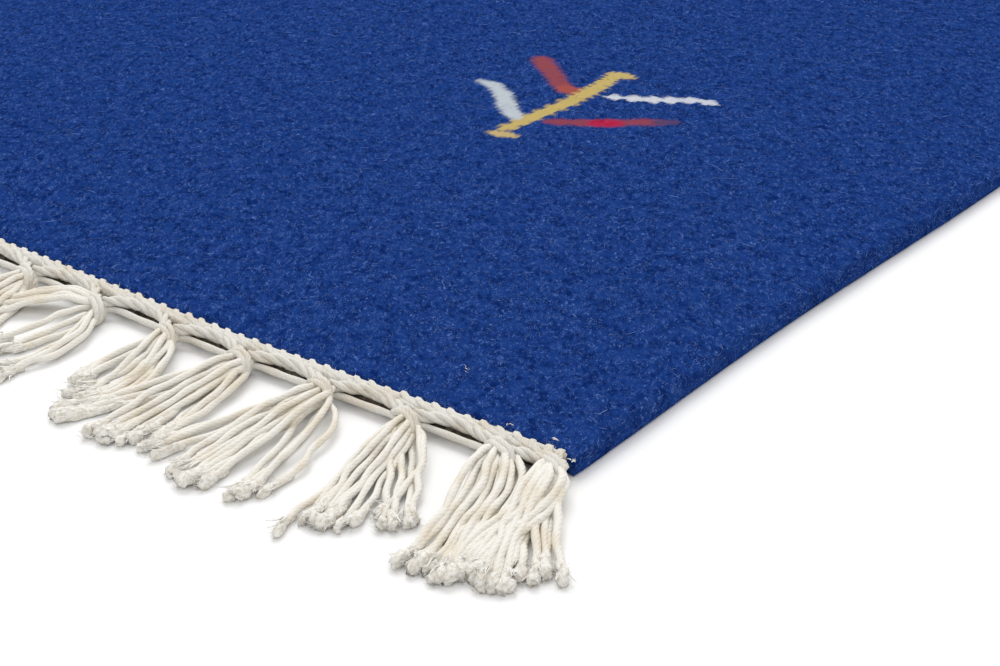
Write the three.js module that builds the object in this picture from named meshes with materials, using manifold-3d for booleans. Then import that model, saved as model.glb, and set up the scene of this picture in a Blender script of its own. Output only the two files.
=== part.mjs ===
// A flatwoven woolen kilim laid flat, with a row of knotted cotton tassels at each end.
// Millimetres, +Z up. The origin is in the middle of the underside, and the length runs along Y.
import Module from "manifold-3d";
import * as THREE from "three";
import { mergeVertices } from "three/addons/utils/BufferGeometryUtils.js";

const wasm = await Module();
wasm.setup();

// Woolen field
const fieldWidth = 600;
const fieldLength = 900;
const fieldThickness = 5;
const edgeRound = 1.6;
const cornerCut = 3;
const outlineStep = 25;

// Parting between the field and the fringe at each end
const seamGap = 0.4;

// Cotton band along each end, with its row of half hitches
const bandDepth = 3.2;
const bandHeight = 4.6;
const bandFrontSlope = 1;
const hitchesPerEnd = 140;
const hitchWidth = 2;
const hitchRise = 1;
const hitchInset = 0.1;

// Knots under the band, counted from one side edge to the other
const cornerKnots = [6.2, 16.8];
const innerKnotCount = 22;
const innerKnotStart = 42.2;
const knotFrontWidth = 7;
const knotBackWidth = 15;
const knotBackOut = 2.6;
const knotFrontOut = 9;
const knotHeight = 4.9;
const knotSlant = 0.8;

// The single yarn that runs from one knot to the next
const bridgeOut = 6.6;
const bridgeWidth = 1.8;
const bridgeHeight = 2;
const bridgeInset = 0.6;

// Locks of each tassel
const locksPerTassel = 4;
const lockSteps = 3;
const lockRootOut = 7;
const lockRootPitch = 1.6;
const lockRootWidth = 1.4;
const lockRootHeight = 2.6;
const lockTipWidth = 3;
const lockTipHeight = 1.9;
const lockTipFill = 0.66;
const lockReachSpread = 2;
const lockMidLean = 0.25;
const lockMidFlare = 1.8;

// Sideways lean of a tassel's tips, the width of their fan, their reach from the field, and the locks' bow
const nearCornerTassels = [
  { lean: 23, fan: 11, reach: 38, bow: 0 },
  { lean: 17, fan: 13, reach: 44, bow: 0 },
];
const innerTassels = [
  { lean: 20, fan: 19, reach: 44, bow: 1 },
  { lean: 11, fan: 24, reach: 49, bow: -2 },
  { lean: 5, fan: 21, reach: 46, bow: -1 },
  { lean: 9, fan: 13, reach: 42, bow: 2 },
  { lean: 11, fan: 22, reach: 45, bow: -1 },
  { lean: 13, fan: 17, reach: 48, bow: 1 },
  { lean: 13, fan: 18, reach: 44, bow: -2 },
  { lean: 17, fan: 13, reach: 46, bow: 1 },
];
const farCornerTassels = [
  { lean: 4, fan: 12, reach: 45, bow: 1 },
  { lean: -8, fan: 9, reach: 39, bow: -2 },
];

// How far the weaving wanders outwards from a true rectangle, at the near end and at the sides
const endSway = (x) => 0.9 * Math.sin(x / 27 + 0.25);
const sideSway = (y) => 0.9 * Math.sin(y / 34 + 2.9);

// Moves every point of a geometry
function reshape(geometry, move) {
  const points = geometry.attributes.position;
  const point = new THREE.Vector3();
  for (let i = 0; i < points.count; i += 1) {
    move(point.fromBufferAttribute(points, i));
    points.setXYZ(i, point.x, point.y, point.z);
  }
  return geometry;
}

// Joins closed geometries into one
function join(geometries) {
  const solids = geometries.map((geometry) => {
    geometry.deleteAttribute("normal");
    geometry.deleteAttribute("uv");
    const merged = mergeVertices(geometry, 1e-4);
    return new wasm.Manifold(new wasm.Mesh({
      numProp: 3,
      vertProperties: merged.attributes.position.array,
      triVerts: new Uint32Array(merged.index.array),
    }));
  });
  const mesh = wasm.Manifold.union(solids).getMesh();
  const joined = new THREE.BufferGeometry();
  joined.setAttribute("position", new THREE.BufferAttribute(mesh.vertProperties, 3));
  joined.setIndex(new THREE.BufferAttribute(mesh.triVerts, 1));
  return joined;
}

// A slab with rounded edges, whose ends and sides wander with the weaving
function wovenField() {
  const halfWidth = fieldWidth / 2 - edgeRound;
  const halfLength = fieldLength / 2 - edgeRound;
  const corners = [
    new THREE.Vector2(halfWidth, -halfLength),
    new THREE.Vector2(halfWidth, halfLength),
    new THREE.Vector2(-halfWidth, halfLength),
    new THREE.Vector2(-halfWidth, -halfLength),
  ];
  const outline = corners.flatMap((corner, side) => {
    const next = corners[(side + 1) % corners.length];
    const length = corner.distanceTo(next);
    const steps = Math.round(length / outlineStep);
    const run = length - 2 * cornerCut;
    return Array.from({ length: steps + 1 }, (_, i) =>
      corner.clone().lerp(next, (cornerCut + (run * i) / steps) / length));
  });
  const slab = new THREE.ExtrudeGeometry(new THREE.Shape(outline), {
    depth: fieldThickness - 2 * edgeRound,
    bevelThickness: edgeRound,
    bevelSize: edgeRound,
    bevelSegments: 1,
  });
  slab.translate(0, 0, edgeRound);
  return reshape(slab, (point) => {
    const { x, y } = point;
    point.x += (sideSway(x > 0 ? y : -y) * x) / (fieldWidth / 2);
    point.y += (endSway(y < 0 ? x : -x) * y) / (fieldLength / 2);
  });
}

// The fringe pieces below are built at the near end, with y = 0 at the field's edge

// Follows the wander of the field's end
function followEnd(geometry) {
  return reshape(geometry, (point) => {
    point.y -= endSway(point.x);
  });
}

// The band: a bar with a sloping front
function band() {
  const front = seamGap + bandDepth;
  const section = new THREE.Shape([
    new THREE.Vector2(seamGap, 0),
    new THREE.Vector2(front, 0),
    new THREE.Vector2(front - bandFrontSlope, bandHeight),
    new THREE.Vector2(seamGap, bandHeight),
  ]);
  const steps = Math.round(fieldWidth / outlineStep);
  const bar = new THREE.ExtrudeGeometry(section, { steps, depth: fieldWidth, bevelEnabled: false });
  return reshape(bar, (point) => {
    point.set(fieldWidth / 2 - point.z, -point.x, point.y);
  });
}

// One half hitch: a small four-sided bump on the band's back edge
function hitch(x) {
  const bump = new THREE.ConeGeometry(hitchWidth / Math.SQRT2, 2 * hitchRise, 4);
  bump.rotateX(Math.PI / 2).rotateZ(Math.PI / 4);
  return bump.translate(x, -(seamGap + hitchInset + hitchWidth / 2), bandHeight);
}

// A three-sided yarn flat on the floor along a route of (across, distance out), tapering from root to tip
function yarn(route, steps, root, tip) {
  const section = new THREE.Shape([
    new THREE.Vector2(-0.5, 0),
    new THREE.Vector2(0.5, 0),
    new THREE.Vector2(0, 1),
  ]);
  const prism = new THREE.ExtrudeGeometry(section, { steps, depth: 1, bevelEnabled: false });
  return reshape(prism, (point) => {
    const at = route.getPoint(point.z);
    const heading = route.getTangent(point.z);
    const width = THREE.MathUtils.lerp(root.width, tip.width, point.z);
    const height = THREE.MathUtils.lerp(root.height, tip.height, point.z);
    const side = point.x * width;
    point.set(at.x + heading.y * side, -at.y + heading.x * side, point.y * height);
  });
}

// A knot: yarns wrapped askew around the neck of a tassel, wider where they come down from the band
function knot(x) {
  const section = new THREE.Shape([
    new THREE.Vector2(0, 0),
    new THREE.Vector2(0, knotHeight * 0.8),
    new THREE.Vector2(0.5, knotHeight),
    new THREE.Vector2(1, knotHeight * 0.6),
    new THREE.Vector2(1, 0),
  ]);
  const wrap = new THREE.ExtrudeGeometry(section, { steps: 1, depth: 1, bevelEnabled: false });
  return reshape(wrap, (point) => {
    const across = 0.5 - point.z;
    const out = THREE.MathUtils.lerp(knotBackOut, knotFrontOut, point.x) + across * knotSlant;
    const width = THREE.MathUtils.lerp(knotBackWidth, knotFrontWidth, Math.min(1, 2 * point.x));
    point.set(x + across * width, -out, point.y);
  });
}

// The single yarn that runs from one knot to the next
function bridge(from, to) {
  const route = new THREE.LineCurve(
    new THREE.Vector2(from - knotFrontWidth / 2 + bridgeInset, bridgeOut),
    new THREE.Vector2(to + knotFrontWidth / 2 - bridgeInset, bridgeOut),
  );
  const size = { width: bridgeWidth, height: bridgeHeight };
  return yarn(route, 1, size, size);
}

// The locks of one tassel, fanning out from its knot square to the tassel's lean
function tassel(x, row, { lean, fan, reach, bow }) {
  const tilt = Math.atan2(lean, reach - lockRootOut);
  const tipPitch = fan / (locksPerTassel - 1);
  const root = { width: lockRootWidth, height: lockRootHeight };
  const tip = { width: Math.min(lockTipWidth, lockTipFill * tipPitch), height: lockTipHeight };
  return Array.from({ length: locksPerTassel }, (_, i) => {
    const place = i - (locksPerTassel - 1) / 2;
    const extra = lockReachSpread * Math.sin(2.1 * row + 2.7 * i);
    const tipOffset = new THREE.Vector2(place * tipPitch, extra).rotateAround(new THREE.Vector2(), -tilt);
    const route = new THREE.QuadraticBezierCurve(
      new THREE.Vector2(x + place * lockRootPitch, lockRootOut),
      new THREE.Vector2(
        x + bow + lean * lockMidLean + place * lockRootPitch * lockMidFlare,
        (lockRootOut + reach) / 2,
      ),
      new THREE.Vector2(x + lean, reach).add(tipOffset),
    );
    return yarn(route, lockSteps, root, tip);
  });
}

// Everything that the warp ends make beyond the field, as one piece
function fringe(firstRow) {
  const innerKnotRun = fieldWidth - 2 * innerKnotStart;
  const innerKnots = Array.from({ length: innerKnotCount }, (_, i) =>
    innerKnotStart + (innerKnotRun * i) / (innerKnotCount - 1));
  const farKnots = cornerKnots.map((place) => fieldWidth - place).reverse();
  const knots = [...cornerKnots, ...innerKnots, ...farKnots].map((place) => fieldWidth / 2 - place);
  const inner = innerKnots.map((_, i) => innerTassels[(i + firstRow) % innerTassels.length]);
  const tassels = [...nearCornerTassels, ...inner, ...farCornerTassels];
  const hitches = Array.from({ length: hitchesPerEnd }, (_, i) =>
    (fieldWidth * (i + 0.5)) / hitchesPerEnd - fieldWidth / 2);
  const pieces = [
    band(),
    ...hitches.map(hitch),
    ...knots.map(knot),
    ...knots.slice(1).map((x, i) => bridge(knots[i], x)),
    ...knots.flatMap((x, i) => tassel(x, i + firstRow, tassels[i])),
  ];
  return join(pieces.map(followEnd));
}

// One named piece with its own colour
function piece(name, geometry, color, roughness) {
  const material = new THREE.MeshStandardMaterial({ color, roughness, metalness: 0 });
  const mesh = new THREE.Mesh(geometry, material);
  mesh.name = name;
  return mesh;
}

const field = piece("woven_field", wovenField(), 0x1f3d7d, 0.95);

const fringeNear = piece("fringe_near", fringe(0), 0xe9e2d0, 0.9);
fringeNear.position.y = -fieldLength / 2;

const fringeFar = piece("fringe_far", fringe(3), 0xe9e2d0, 0.9);
fringeFar.position.y = fieldLength / 2;
fringeFar.rotation.z = Math.PI;

const rug = new THREE.Group();
rug.add(field, fringeNear, fringeFar);

export default rug;
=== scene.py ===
# A blue woolen kilim with knotted cotton tassels, lying flat on a pale studio floor.
# The rug's length runs along Y and its underside is at z = 0, as in the frame.
import math

import bmesh
import bpy
import numpy as np
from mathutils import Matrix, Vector, noise


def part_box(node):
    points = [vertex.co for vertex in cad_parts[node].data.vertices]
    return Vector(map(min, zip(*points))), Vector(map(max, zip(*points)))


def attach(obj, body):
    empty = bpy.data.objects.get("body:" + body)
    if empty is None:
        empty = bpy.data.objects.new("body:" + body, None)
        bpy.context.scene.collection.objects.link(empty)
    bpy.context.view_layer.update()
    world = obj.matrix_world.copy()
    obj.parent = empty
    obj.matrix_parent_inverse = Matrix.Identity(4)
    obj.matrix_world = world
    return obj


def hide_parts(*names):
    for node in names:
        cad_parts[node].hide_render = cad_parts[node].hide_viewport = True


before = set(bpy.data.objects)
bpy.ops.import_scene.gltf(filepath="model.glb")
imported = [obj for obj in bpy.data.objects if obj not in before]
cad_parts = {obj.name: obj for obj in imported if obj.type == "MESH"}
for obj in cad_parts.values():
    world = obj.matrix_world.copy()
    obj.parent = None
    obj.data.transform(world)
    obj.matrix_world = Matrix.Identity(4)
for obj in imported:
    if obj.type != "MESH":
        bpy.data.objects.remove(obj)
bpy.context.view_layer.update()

mm = 0.001
scene = bpy.context.scene


def addObject(name, data):
    added = bpy.data.objects.new(name, data)
    scene.collection.objects.link(added)
    return added


def meshFrom(bm, name):
    mesh = bpy.data.meshes.new(name)
    bm.to_mesh(mesh)
    bm.free()
    return mesh


def unit(vectors):
    return vectors / np.linalg.norm(vectors, axis=-1, keepdims=True)


def squareTo(headings, vectors):
    return unit(vectors - headings * (vectors * headings).sum(-1, keepdims=True))


# The rug's layout in millimetres, which every piece shares
rug = {
    "width": 600,
    "length": 900,
    "thickness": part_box("woven_field")[1][2] / mm,
    "endWander": (0.9, 27, 0.25),  # height, run and phase
    "sideWander": (0.9, 34, 2.9),
    "cornerKnots": (6.2, 16.8),  # from the side edge
    "innerKnots": 22,
    "innerKnotStart": 42.2,
    "cornerCrests": [(4.0, 4.3), (3.1, 6.1)],  # from the knot's place and from the field's edge
    "innerCrests": [(4.4, 7.0), (5.6, 7.0), (6.4, 7.1), (8.4, 8.3),
                    (8.6, 8.6), (6.4, 7.8), (5.2, 7.6), (4.8, 7.2)],
    "hitches": 140,
    "clearance": 0.05,  # the least height of a fibre above the floor
}
halfWidth, halfLength = rug["width"] / 2, rug["length"] / 2


# The locks of each tassel: number of yarns, the tips' place across and out from the knot, their spread,
# how far the lock swings to the side on its way, and how high it lies in the bundle
def lock(yarns, across, out, spread, swing, layer):
    return {"yarns": yarns, "across": across, "out": out, "spread": spread, "swing": swing, "layer": layer}


def curved(yarns, layer, *way):  # a lock with its own way of (across, out, width)
    return {"yarns": yarns, "layer": layer, "way": way}


cornerTassels = [
    [curved(5, 0, (4.6, 6.5, 4), (9, 13, 5.5), (14, 21, 6.5), (19, 28, 8), (25, 35, 10)),
     curved(8, 1, (4.2, 6.3, 4.6), (7.2, 9.6, 6.4), (8.9, 14, 7), (10.0, 19, 7), (10.2, 25, 6.5),
            (10.0, 31, 7), (10.8, 37, 8.5), (12.5, 43, 9)),
     curved(4, 2, (3.4, 6.6, 3.4), (5.0, 11, 4.2), (7.0, 17, 4.2), (9.4, 24, 4), (12.6, 31, 4),
            (15.6, 37, 4.4), (18.4, 42.5, 5)),
     curved(1, 1, (6, 8, 0), (10.5, 18, 0), (13, 27, 0), (16.5, 35, 0), (20.5, 42, 0))],
    [curved(5, 0, (4.6, 7.0, 4.4), (9.6, 13, 6.5), (12.6, 20, 7), (15.2, 27, 7), (18.6, 35, 7.5),
            (23, 43.5, 8)),
     curved(8, 1, (2.4, 7.6, 5.4), (5.6, 14, 9.5), (8.6, 20, 10), (10.6, 27, 9.5), (12.6, 35, 9),
            (14.4, 42, 10), (15.6, 47.5, 12))],
]
innerTassels = [
    [lock(1, 9, 53, 0, -1, 0), lock(4, 27, 38, 6, 1, 0), lock(8, 15, 46, 11, 0, 1),
     curved(1, 2, (7.5, 9, 0), (10.8, 10.6, 0), (14.2, 14, 0), (17.8, 20, 0), (20, 28, 0), (20.9, 38, 0))],
    [lock(3, -8, 46, 6, -2, 0), lock(7, 6, 50, 12, 0, 1), lock(3, 20, 48, 4, 3, 0),
     lock(1, 24, 45, 0, 9, 1)],
    [lock(4, -9, 46, 8, -1, 0), lock(5, 5, 48, 9, 0, 1), lock(4, 14, 42, 5, 2, 0)],
    [curved(3, 0, (8.6, 9.5, 3), (6, 18, 4), (5, 26, 5), (6.3, 35, 5)),
     curved(6, 1, (9, 10, 4), (11.5, 14, 6), (14, 22, 7.5), (14.6, 31, 8.5), (12, 40, 9.5)),
     curved(3, 0, (9.6, 10, 2), (12.6, 13, 3), (17.1, 21, 3.4), (19.1, 30, 4.4), (20, 37, 5))],
    [curved(6, 2, (6.5, 8.8, 4), (-1.4, 10.4, 7.5), (-7, 14.6, 7.5), (-13, 20.5, 8), (-19, 27, 9)),
     lock(3, 4, 36, 8, 0, 0),
     curved(4, 0, (9.5, 11, 3), (13.8, 18.7, 3.6), (15.8, 26.4, 3.8), (14.5, 36, 4.4), (12.5, 44, 5.5))],
    [lock(7, 9, 47, 9, 0, 1), lock(6, 19, 47, 8, 2, 0)],
    [lock(6, 6, 43, 9, -3, 0), lock(4, 14, 46, 6, 0, 1), lock(3, 21, 42, 6, 4, 0)],
    [lock(7, 13, 46, 9, 1, 1), lock(5, 22, 45, 7, 4, 0)],
]
lastTassels = [
    [lock(6, 0, 45, 7, 0, 1), lock(6, 9, 45, 7, 3, 0)],
    [lock(6, -11, 38, 6, -3, 0), lock(6, -5, 40, 6, 1, 1)],
]
ends = {"near": {"turn": 1, "firstRow": 0, "seeds": (21, 31)},
        "far": {"turn": -1, "firstRow": 3, "seeds": (22, 32)}}


def wander(place, values):  # how far an edge lies outside a true rectangle
    height, run, phase = values
    return height * np.sin(place / run + phase)


def knotPlaces():
    near = list(rug["cornerKnots"])
    start = rug["innerKnotStart"]
    inner = np.linspace(start, rug["width"] - start, rug["innerKnots"])
    far = [rug["width"] - place for place in reversed(near)]
    return [halfWidth - place for place in (*near, *inner, *far)]


# Where the crest of each knot lies, beside its place and out from the field's edge
def knotCrests():
    places = knotPlaces()
    inner = rug["innerCrests"]
    offsets = [*rug["cornerCrests"], *[inner[i % len(inner)] for i in range(len(places) - 2)]]
    return [np.array([x + across, out]) for x, (across, out) in zip(places, offsets)]


def tasselRows(end):
    first = ends[end]["firstRow"]
    inner = [innerTassels[(i + first) % len(innerTassels)] for i in range(rug["innerKnots"])]
    return [*cornerTassels, *inner, *lastTassels]


def atEnd(end, points):  # from (across, out, height) in millimetres to the rug's place in metres
    turn = ends[end]["turn"]
    along = halfLength + points[..., 1] + wander(points[..., 0], rug["endWander"])
    return np.stack([points[..., 0] * turn, -along * turn, points[..., 2]], -1) * mm


# Node helpers
def addNode(tree, kind, inputs=(), **settings):
    node = tree.nodes.new(kind)
    for name, value in settings.items():
        setattr(node, name, value)
    for name, value in dict(inputs).items():
        if isinstance(value, bpy.types.NodeSocket):
            tree.links.new(value, node.inputs[name])
        else:
            node.inputs[name].default_value = value
    return node


def mathNode(tree, operation, a, b=0.0, c=0.0, clamp=False):
    node = addNode(tree, "ShaderNodeMath", {0: a, 1: b, 2: c}, operation=operation, use_clamp=clamp)
    return node.outputs[0]


def times(tree, a, b):
    return mathNode(tree, "MULTIPLY", a, b)


def timesPlus(tree, a, b, c):
    return mathNode(tree, "MULTIPLY_ADD", a, b, c)


def vectorNode(tree, operation, a, b=(0, 0, 0)):
    node = addNode(tree, "ShaderNodeVectorMath", {0: a, 1: b}, operation=operation)
    return node.outputs["Value" if operation in ("DOT_PRODUCT", "LENGTH") else "Vector"]


def scaled(tree, vector, factor):
    return addNode(tree, "ShaderNodeVectorMath", {0: vector, 3: factor}, operation="SCALE").outputs[0]


def mixColour(tree, factor, a, b):
    return addNode(tree, "ShaderNodeMix", {0: factor, 6: a, 7: b}, data_type="RGBA").outputs[2]


def smoothRange(tree, value, low, high):
    limits = {"Value": value, "From Min": low, "From Max": high}
    return addNode(tree, "ShaderNodeMapRange", limits, interpolation_type="SMOOTHSTEP").outputs["Result"]


def noiseNode(tree, vector, scale, detail=2.0, distortion=0.0, output="Fac"):
    return addNode(tree, "ShaderNodeTexNoise", {
        "Vector": vector, "Scale": scale, "Detail": detail, "Distortion": distortion}).outputs[output]


def objectPlace(tree):
    return addNode(tree, "ShaderNodeTexCoord").outputs["Object"]


def attributeNode(tree, name):
    return addNode(tree, "ShaderNodeAttribute", attribute_name=name).outputs


def addBump(tree, shader, height, strength, distance):
    bump = addNode(tree, "ShaderNodeBump", {"Height": height, "Strength": strength, "Distance": distance})
    tree.links.new(bump.outputs["Normal"], shader.inputs["Normal"])


def newGroup(name, inputs, outputs):
    tree = bpy.data.node_groups.new(name, "ShaderNodeTree")
    for direction, sockets in (("INPUT", inputs), ("OUTPUT", outputs)):
        for socketName, kind in sockets.items():
            tree.interface.new_socket(socketName, in_out=direction, socket_type="NodeSocket" + kind)
    return tree, tree.nodes.new("NodeGroupInput").outputs, tree.nodes.new("NodeGroupOutput").inputs


def useGroup(tree, group, inputs):  # each group has one output
    return addNode(tree, "ShaderNodeGroup", inputs, node_tree=group).outputs[0]


# Curly fibres: thin winding lines where a strongly bent noise crosses its middle value
def curlyFibreGroup():
    tree, given, result = newGroup("curlyFibres", {
        "Vector": "Vector", "Scale": "Float", "Bend": "Float", "Width": "Float"}, {"Mask": "Float"})
    winding = noiseNode(tree, given["Vector"], given["Scale"], 1.0, given["Bend"])
    away = mathNode(tree, "ABSOLUTE", mathNode(tree, "SUBTRACT", winding, 0.5))
    tree.links.new(smoothRange(tree, away, given["Width"], 0.0), result["Mask"])
    return tree


# One woven bar of the figure, from its foot to its tip, with the stepped edge of a tapestry weave
def wovenBarGroup():
    tree, given, result = newGroup("wovenBar", {
        "Vector": "Vector", "Foot": "Vector", "Tip": "Vector", "FootWidth": "Float", "TipWidth": "Float",
        "Steps": "Float", "StepDepth": "Float", "Soft": "Float"}, {"Mask": "Float"})
    fromFoot = vectorNode(tree, "SUBTRACT", given["Vector"], given["Foot"])
    length = vectorNode(tree, "SUBTRACT", given["Tip"], given["Foot"])
    share = mathNode(tree, "DIVIDE", vectorNode(tree, "DOT_PRODUCT", fromFoot, length),
                     vectorNode(tree, "DOT_PRODUCT", length, length), clamp=True)
    onBar = scaled(tree, length, share)
    away = vectorNode(tree, "LENGTH", vectorNode(tree, "SUBTRACT", fromFoot, onBar))
    halfBar = addNode(tree, "ShaderNodeMix", {0: share, 2: given["FootWidth"], 3: given["TipWidth"]})
    turns = times(tree, times(tree, share, given["Steps"]), 2 * math.pi)
    dip = times(tree, mathNode(tree, "COSINE", turns), given["StepDepth"])
    inside = mathNode(tree, "SUBTRACT", mathNode(tree, "SUBTRACT", halfBar.outputs[0], dip), away)
    edge = times(tree, given["Soft"], -1.0)
    tree.links.new(smoothRange(tree, inside, edge, given["Soft"]), result["Mask"])
    return tree


# The woven figure: a little branch with a yellow stem and four barbs, in millimetres from the stem's foot
def stroke(route, colour, steps=0, stepDepth=0, soft=1.5):  # a route of (across, along, half width)
    return {"route": route, "colour": (*colour, 1), "steps": steps, "stepDepth": stepDepth, "soft": soft}


figure = {
    "foot": (176.0, -313.2),
    "warpStep": 2.15,
    "weftStep": 1.1,
    "stepped": 0.5,  # how closely the edges follow the weave's steps
    "ragged": {"scale": 0.7, "detail": 4.0, "shift": (2.4, 2.2, 0)},
    "strokes": [
        stroke([(-5.6, 14.1, 2.3), (-9.9, 16.3, 2.5), (-15.9, 21.6, 2.8), (-22.3, 28.0, 2.6),
                (-29.6, 33.0, 2.2), (-35.1, 33.5, 1.4)], (0.42, 0.46, 0.50)),
        stroke([(-6.2, 43.5, 3.2), (-9.5, 43.2, 2.8), (-14.7, 46.6, 2.7)], (0.31, 0.070, 0.055)),
        stroke([(-14.7, 46.6, 2.7), (-19.7, 51.2, 2.8), (-27.2, 56.8, 3.3), (-33.2, 62.0, 3.2)],
               (0.235, 0.055, 0.068), 3, 0.4),
        stroke([(3.3, 45.3, 1.5), (13.7, 50.3, 2.2), (22.4, 56.4, 2.3)],
               (0.50, 0.52, 0.57), 2, 1.0, 0.9),
        stroke([(22.4, 56.4, 2.3), (28.2, 59.9, 1.9), (34.1, 59.5, 1.3)], (0.48, 0.50, 0.57), 1, 0.8, 0.9),
        stroke([(3.4, 17.2, 2.3), (13.5, 24.1, 2.7), (28.9, 36.2, 2.4)], (0.225, 0.046, 0.070), 2, 0.3),
        stroke([(28.9, 36.2, 2.2), (32.2, 39.2, 1.5)], (0.085, 0.045, 0.110)),
        stroke([(14.6, 24.9, 2.8), (19.0, 27.9, 2.6)], (0.38, 0.016, 0.055), 1, 0.2),
        stroke([(-3.6, 4.0, 2.2), (-2.9, 19.6, 2.7), (-2.7, 37.5, 2.9), (-2.9, 47, 2.9),
                (-4.0, 56.0, 2.7), (-5.6, 62.5, 2.4)], (0.46, 0.35, 0.120), 3, 0.55, 1.1),
        stroke([(-4.8, -0.4, 1.4), (-1.3, 0.6, 2.1), (1.9, 1.6, 1.8)],
               (0.45, 0.34, 0.150), 2, 0.4, 1.1),
        stroke([(-7.6, 63.6, 1.8), (-4.6, 65.0, 2.3), (-0.5, 64.5, 1.9)],
               (0.46, 0.35, 0.130), 2, 0.4, 1.1),
    ],
}


def figureGroup(bar):
    tree, given, result = newGroup(
        "wovenFigure", {"Vector": "Vector", "Ground": "Color"}, {"Color": "Color"})
    foot = (*figure["foot"], 0)
    ragged = figure["ragged"]
    inMm = scaled(tree, given["Vector"], 1 / mm)
    place = vectorNode(tree, "MULTIPLY", vectorNode(tree, "SUBTRACT", inMm, foot), (1, 1, 0))
    stepped = vectorNode(tree, "SNAP", place, (figure["warpStep"], figure["weftStep"], 1))
    stray = noiseNode(tree, place, ragged["scale"], ragged["detail"], output="Color")
    shift = vectorNode(tree, "MULTIPLY", vectorNode(tree, "SUBTRACT", stray, (0.5, 0.5, 0.5)),
                       ragged["shift"])
    blended = addNode(tree, "ShaderNodeMix", {0: figure["stepped"], 4: place, 5: stepped},
                      data_type="VECTOR")
    woven = vectorNode(tree, "ADD", blended.outputs[1], shift)
    colour = given["Ground"]
    for row in figure["strokes"]:
        for start, stop in zip(row["route"], row["route"][1:]):
            out = useGroup(tree, bar, {
                "Vector": woven, "Foot": (*start[:2], 0), "Tip": (*stop[:2], 0), "FootWidth": start[2],
                "TipWidth": stop[2], "Steps": row["steps"], "StepDepth": row["stepDepth"],
                "Soft": row["soft"]})
            colour = mixColour(tree, out, colour, row["colour"])
    tree.links.new(colour, result["Color"])
    return tree


curlyFibres = curlyFibreGroup()
wovenFigure = figureGroup(wovenBarGroup())


def newMaterial(name, roughness, specular):
    material = bpy.data.materials.new(name)
    material.use_nodes = True
    tree = material.node_tree
    shader = tree.nodes["Principled BSDF"]
    shader.inputs["Roughness"].default_value = roughness
    shader.inputs["Specular IOR Level"].default_value = specular
    return material, tree, shader


# Felted blue wool, with the figure woven in
wool = {
    "dark": (0.0032, 0.0160, 0.099, 1),
    "mid": (0.0094, 0.0376, 0.183, 1),
    "light": (0.120, 0.220, 0.560, 1),
    "hair": (0.190, 0.310, 0.720, 1),
    "nap": (37.8, 0.55),  # the way that the fibres lie, in degrees, and how much they are drawn out
    "blotchScale": 210,
    "clumpScale": 760,
    "clumpBend": 0.6,
    "clumpShare": 0.55,
    # the range from dark to mid: painted shade in the low pits, and random tone
    "depthRange": (0.35, 0.60),
    "grainScale": 2200,
    "grainShare": 0.15,
    "fibreScales": (520, 800, 1150),
    "fibreShift": (0.13, 0.07, 0),  # from one layer of fibres to the next, so that they differ
    "fibreBend": 1.0,
    "fibreWidth": 0.028,
    "fibreBreak": (0.7, 0.47, 0.58),  # share of the fibres' scale, and the range over which they fade
    "fibreShare": 0.50,
    "fibreShareOnFigure": 0.12,
    "fibreHeight": 0.15,
    "bump": (0.65, 0.0005),  # strength and distance
}


def woolMaterial():
    material, tree, shader = newMaterial("blueWool", 1.0, 0)
    place = objectPlace(tree)
    bearing, drawnOut = wool["nap"]
    turned = addNode(tree, "ShaderNodeVectorRotate", {
        "Vector": place, "Angle": -math.radians(bearing)}, rotation_type="Z_AXIS").outputs[0]
    nap = vectorNode(tree, "MULTIPLY", turned, (1, drawnOut, 1))
    blotches = noiseNode(tree, place, wool["blotchScale"])
    clumps = noiseNode(tree, nap, wool["clumpScale"], distortion=wool["clumpBend"])
    grain = noiseNode(tree, nap, wool["grainScale"])
    # darker where the clumps lie low: partly painted shade in the pits, partly random tone from the
    # blotches
    depth = timesPlus(tree, clumps, wool["clumpShare"], times(tree, blotches, 1 - wool["clumpShare"]))
    ground = mixColour(tree, smoothRange(tree, depth, *wool["depthRange"]), wool["dark"], wool["mid"])
    breakScale, faded, whole = wool["fibreBreak"]
    fibres = None
    for i, scale in enumerate(wool["fibreScales"]):
        moved = vectorNode(tree, "ADD", nap, [i * step for step in wool["fibreShift"]])
        mask = useGroup(tree, curlyFibres, {"Vector": moved, "Scale": scale, "Bend": wool["fibreBend"],
                                            "Width": wool["fibreWidth"] * scale * mm})
        broken = noiseNode(tree, moved, scale * breakScale, 1.0)
        mask = times(tree, mask, smoothRange(tree, broken, faded, whole))
        fibres = mask if fibres is None else mathNode(tree, "MAXIMUM", fibres, mask)
    ground = mixColour(tree, times(tree, fibres, wool["fibreShare"]), ground, wool["light"])
    painted = useGroup(tree, wovenFigure, {"Vector": place, "Ground": ground})
    onFigure = times(tree, fibres, wool["fibreShareOnFigure"])
    tree.links.new(mixColour(tree, onFigure, painted, wool["light"]), shader.inputs["Base Color"])
    height = timesPlus(tree, fibres, wool["fibreHeight"], clumps)
    height = timesPlus(tree, grain, wool["grainShare"], height)
    addBump(tree, shader, height, *wool["bump"])
    return material


def woolHairMaterial():
    material, tree, shader = newMaterial("blueWoolFuzz", 0.9, 0.05)
    ground = mixColour(tree, attributeNode(tree, "shade")["Fac"], wool["mid"], wool["hair"])
    painted = useGroup(tree, wovenFigure, {"Vector": objectPlace(tree), "Ground": ground})
    tree.links.new(painted, shader.inputs["Base Color"])
    return material
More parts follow.
